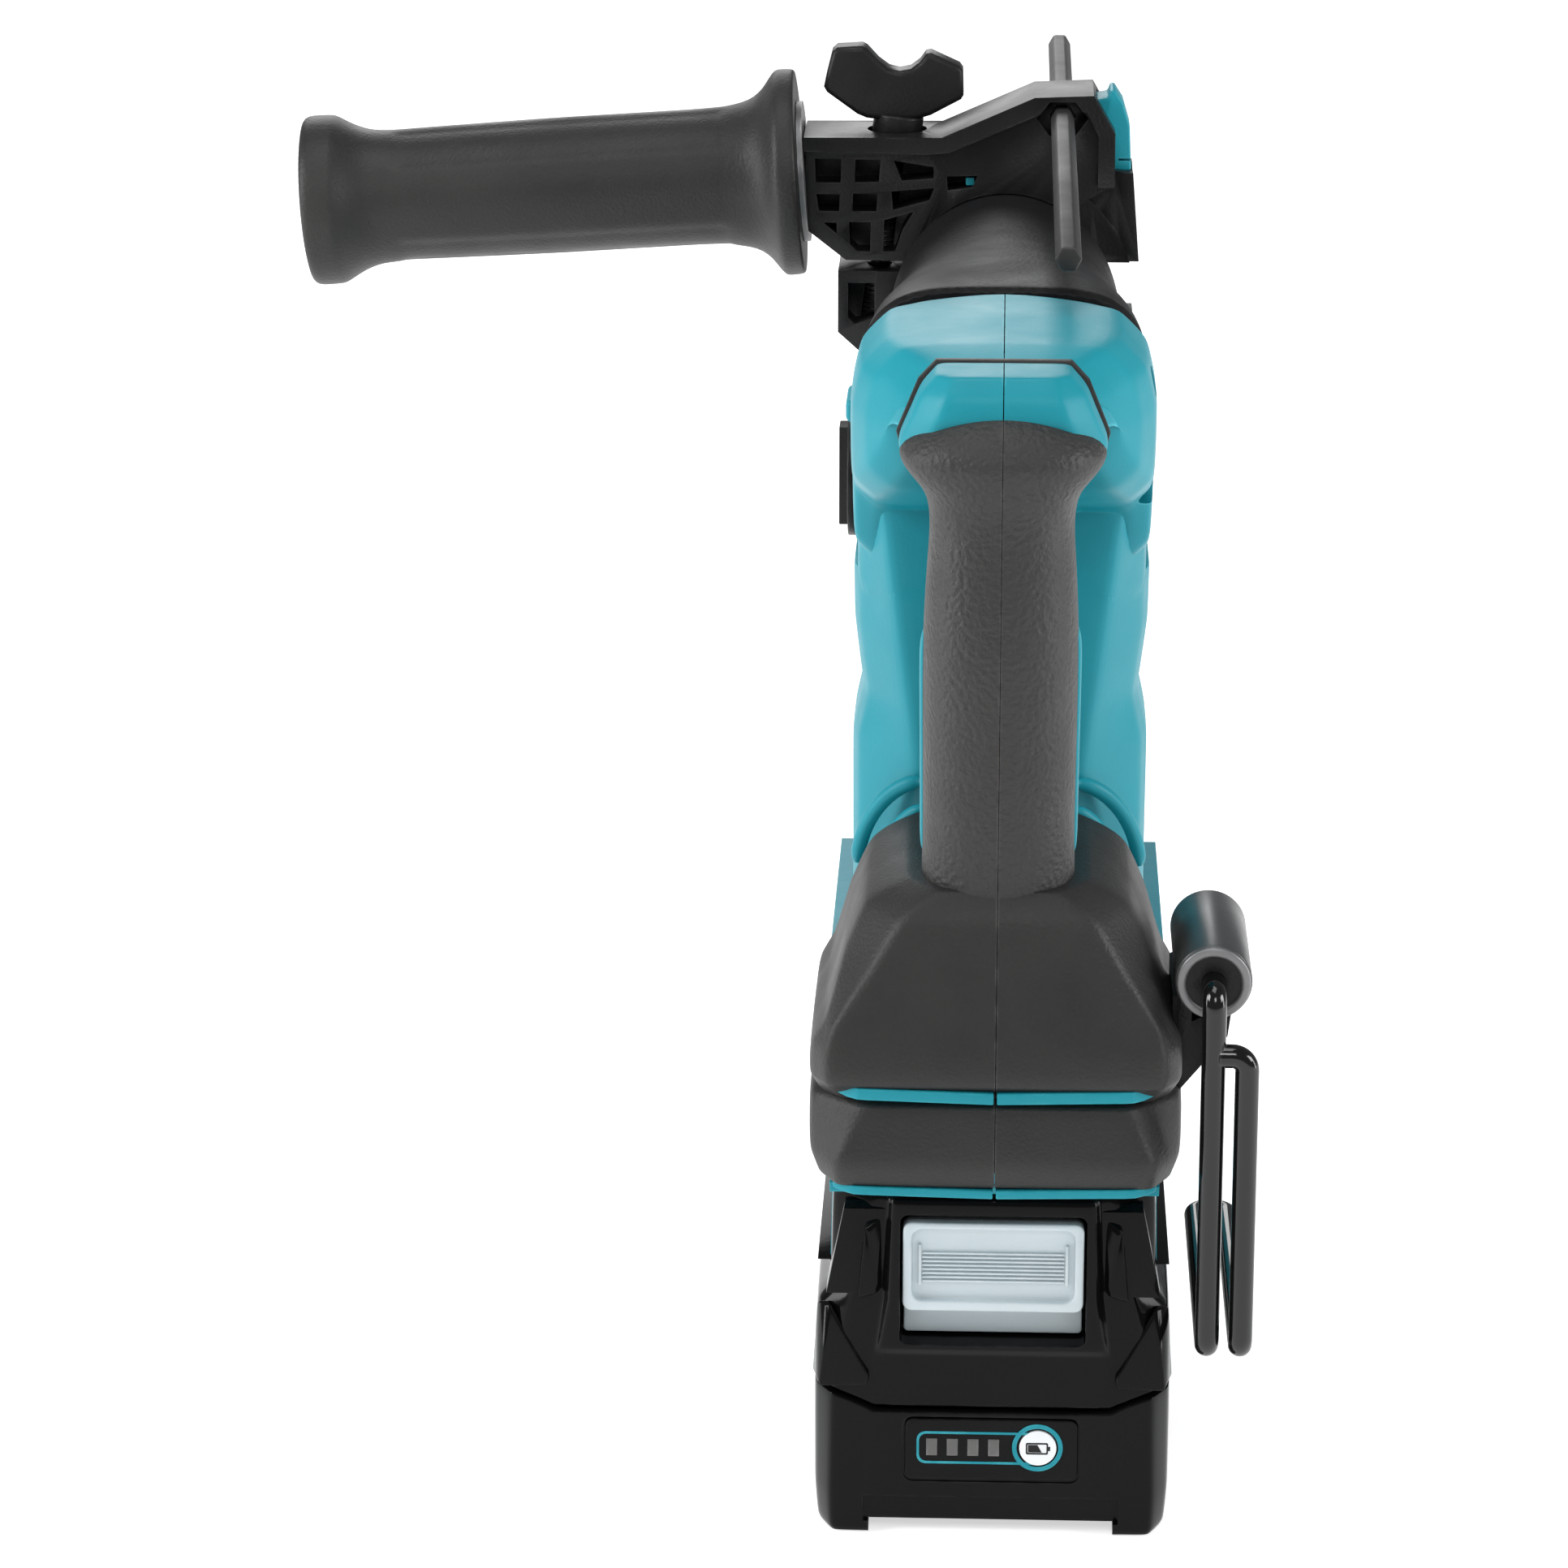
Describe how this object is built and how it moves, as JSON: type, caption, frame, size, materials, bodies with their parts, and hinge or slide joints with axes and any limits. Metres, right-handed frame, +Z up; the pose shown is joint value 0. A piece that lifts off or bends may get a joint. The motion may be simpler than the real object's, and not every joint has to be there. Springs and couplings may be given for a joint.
{
  "type": "rotary hammer",
  "caption": "Cordless rotary hammer with an upright motor, closed rear grip, slide-in battery, clamped side handle, depth rod and wire belt hook.",
  "frame": {"origin": "middle of the battery's flat underside, which the tool stands on", "axes": "+X to the right seen from behind, +Y forward along the spindle to the bit, +Z up"},
  "size_m": [0.2395, 0.377, 0.2981],
  "materials": {
    "teal_plastic": "satin moulded plastic",
    "black_plastic": "polished black plastic",
    "dark_rubber": "textured rubber",
    "black_case": "black metal casing",
    "grey_metal": "cast aluminium",
    "steel": "machined steel",
    "dark_steel": "blackened steel",
    "black_fittings": "matt black plastic",
    "grey_plastic": "light grey plastic",
    "clear_lens": "clear lens",
    "copper_coils": "lacquered windings",
    "cell_wrap": "wrapped cells"
  },
  "bodies": {
    "main": {"left_handle": "teal_plastic", "right_handle": "teal_plastic", "grip_rubber": "dark_rubber", "base_rubber": "dark_rubber", "left_housing": "teal_plastic", "right_housing": "teal_plastic", "gap_buffer": "dark_rubber", "gear_case": "black_case", "bearing_plate": "grey_metal", "plate_bearings": "steel", "spindle_bearings": "steel", "housing_screws": "dark_steel", "lamp_lens": "clear_lens", "stator": "copper_coils", "motor_holder": "black_fittings", "switch_unit": "black_fittings", "terminal_block": "black_fittings", "controller": "grey_metal", "hook_bracket": "black_fittings"},
    "rotor": {"motor_shaft": "steel", "rotor_core": "steel", "motor_fan": "black_fittings"},
    "crank": {"crank_gear": "steel", "crank_shaft": "steel"},
    "countershaft": {"countershaft": "steel", "countershaft_gear": "steel"},
    "spindle": {"cylinder": "steel", "ring_gear": "steel", "tool_holder": "steel", "locking_balls": "steel", "chuck_spring": "steel", "dust_cap": "dark_rubber"},
    "chuck_cover": {"chuck_cover": "black_fittings"},
    "piston": {"piston": "grey_metal", "piston_pin": "steel", "connecting_rod": "grey_metal"},
    "striker": {"striker": "steel"},
    "impact_bolt": {"impact_bolt": "steel"},
    "trigger": {"trigger": "teal_plastic"},
    "reversing_lever": {"reversing_lever": "black_fittings"},
    "mode_knob": {"mode_knob": "black_fittings"},
    "hook": {"hook_wire": "dark_steel"},
    "side_handle": {"handle_clamp": "black_fittings", "side_grip": "dark_rubber", "grip_stud": "steel"},
    "clamp_jaw": {"clamp_jaw": "black_fittings"},
    "thumb_screw": {"thumb_screw": "black_fittings"},
    "depth_rod": {"depth_rod": "dark_steel"},
    "depth_button": {"depth_button": "teal_plastic"},
    "battery": {"battery_lower_case": "black_plastic", "battery_upper_case": "black_plastic", "battery_cells": "cell_wrap", "cell_holders": "black_fittings", "gauge_panel": "black_plastic"},
    "release_button": {"release_button": "grey_plastic"},
    "gauge_button": {"gauge_button": "grey_plastic"}
  },
  "joints": [
    {"name": "spindle_spin", "type": "hinge", "parent": "main", "child": "spindle", "pos_m": [0, 0.1325, 0.233], "axis": [0, 1, 0], "continuous": true},
    {"name": "countershaft_spin", "type": "hinge", "parent": "main", "child": "countershaft", "pos_m": [0, 0.067, 0.193], "axis": [0, 0, 1], "continuous": true},
    {"name": "rotor_spin", "type": "hinge", "parent": "main", "child": "rotor", "pos_m": [0, 0.0505, 0.15], "axis": [0, 0, 1], "continuous": true},
    {"name": "crank_spin", "type": "hinge", "parent": "main", "child": "crank", "pos_m": [0, 0.0325, 0.2], "axis": [0, 0, 1], "continuous": true},
    {"name": "piston_slide", "type": "slide", "parent": "main", "child": "piston", "axis": [0, 1, 0], "range_m": [-0.022, 0]},
    {"name": "striker_slide", "type": "slide", "parent": "spindle", "child": "striker", "axis": [0, 1, 0], "range_m": [-0.008, 0.0075]},
    {"name": "impact_bolt_slide", "type": "slide", "parent": "spindle", "child": "impact_bolt", "axis": [0, 1, 0], "range_m": [0, 0.003]},
    {"name": "chuck_cover_pull", "type": "slide", "parent": "spindle", "child": "chuck_cover", "axis": [0, -1, 0], "range_m": [0, 0.008], "stiffness_N_per_m": 900, "springref_m": -0.004},
    {"name": "trigger_pull", "type": "slide", "parent": "main", "child": "trigger", "axis": [0, -1, 0], "range_m": [0, 0.007], "stiffness_N_per_m": 800, "springref_m": -0.002},
    {"name": "reversing_lever_shift", "type": "slide", "parent": "main", "child": "reversing_lever", "axis": [1, 0, 0], "range_m": [-0.0035, 0.0035]},
    {"name": "mode_knob_turn", "type": "hinge", "parent": "main", "child": "mode_knob", "pos_m": [-0.036, 0.0525, 0.217], "axis": [-1, 0, 0], "range_deg": [-60, 120]},
    {"name": "hook_swing", "type": "hinge", "parent": "main", "child": "hook", "pos_m": [0.0475, -0.0475, 0.133], "axis": [0, -1, 0], "range_deg": [0, 90]},
    {"name": "side_handle_swing", "type": "hinge", "parent": "main", "child": "side_handle", "pos_m": [0, 0.192, 0.233], "axis": [0, 1, 0], "range_deg": [-90, 90]},
    {"name": "thumb_screw_turn", "type": "hinge", "parent": "side_handle", "child": "thumb_screw", "pos_m": [-0.0327, 0.192, 0.238], "axis": [0.1219, 0, 0.9925], "range_deg": [0, 720]},
    {"name": "clamp_jaw_open", "type": "slide", "parent": "side_handle", "child": "clamp_jaw", "axis": [-0.1219, 0, -0.9925], "range_m": [0, 0.0025]},
    {"name": "depth_rod_slide", "type": "slide", "parent": "side_handle", "child": "depth_rod", "axis": [0, 1, 0], "range_m": [-0.06, 0.1]},
    {"name": "depth_button_press", "type": "slide", "parent": "side_handle", "child": "depth_button", "axis": [-1, 0, 0], "range_m": [0, 0.0025], "stiffness_N_per_m": 400, "springref_m": -0.001},
    {"name": "battery_slide", "type": "slide", "parent": "main", "child": "battery", "axis": [0, -1, 0], "range_m": [0, 0.12]},
    {"name": "release_button_press", "type": "slide", "parent": "battery", "child": "release_button", "axis": [0, 0, -1], "range_m": [0, 0.004], "stiffness_N_per_m": 500, "springref_m": -0.001},
    {"name": "gauge_button_press", "type": "slide", "parent": "battery", "child": "gauge_button", "axis": [0, 1, 0], "range_m": [0, 0.0008], "stiffness_N_per_m": 500, "springref_m": -0.0005}
  ],
  "couplings": [
    {"joint": "countershaft_spin", "follows": "spindle_spin", "ratio": 2.6667},
    {"joint": "rotor_spin", "follows": "spindle_spin", "ratio": -7.1111},
    {"joint": "crank_spin", "follows": "spindle_spin", "ratio": 2.3704},
    {"joint": "thumb_screw_turn", "follows": "clamp_jaw_open", "rad_per_m": 5026.1}
  ]
}
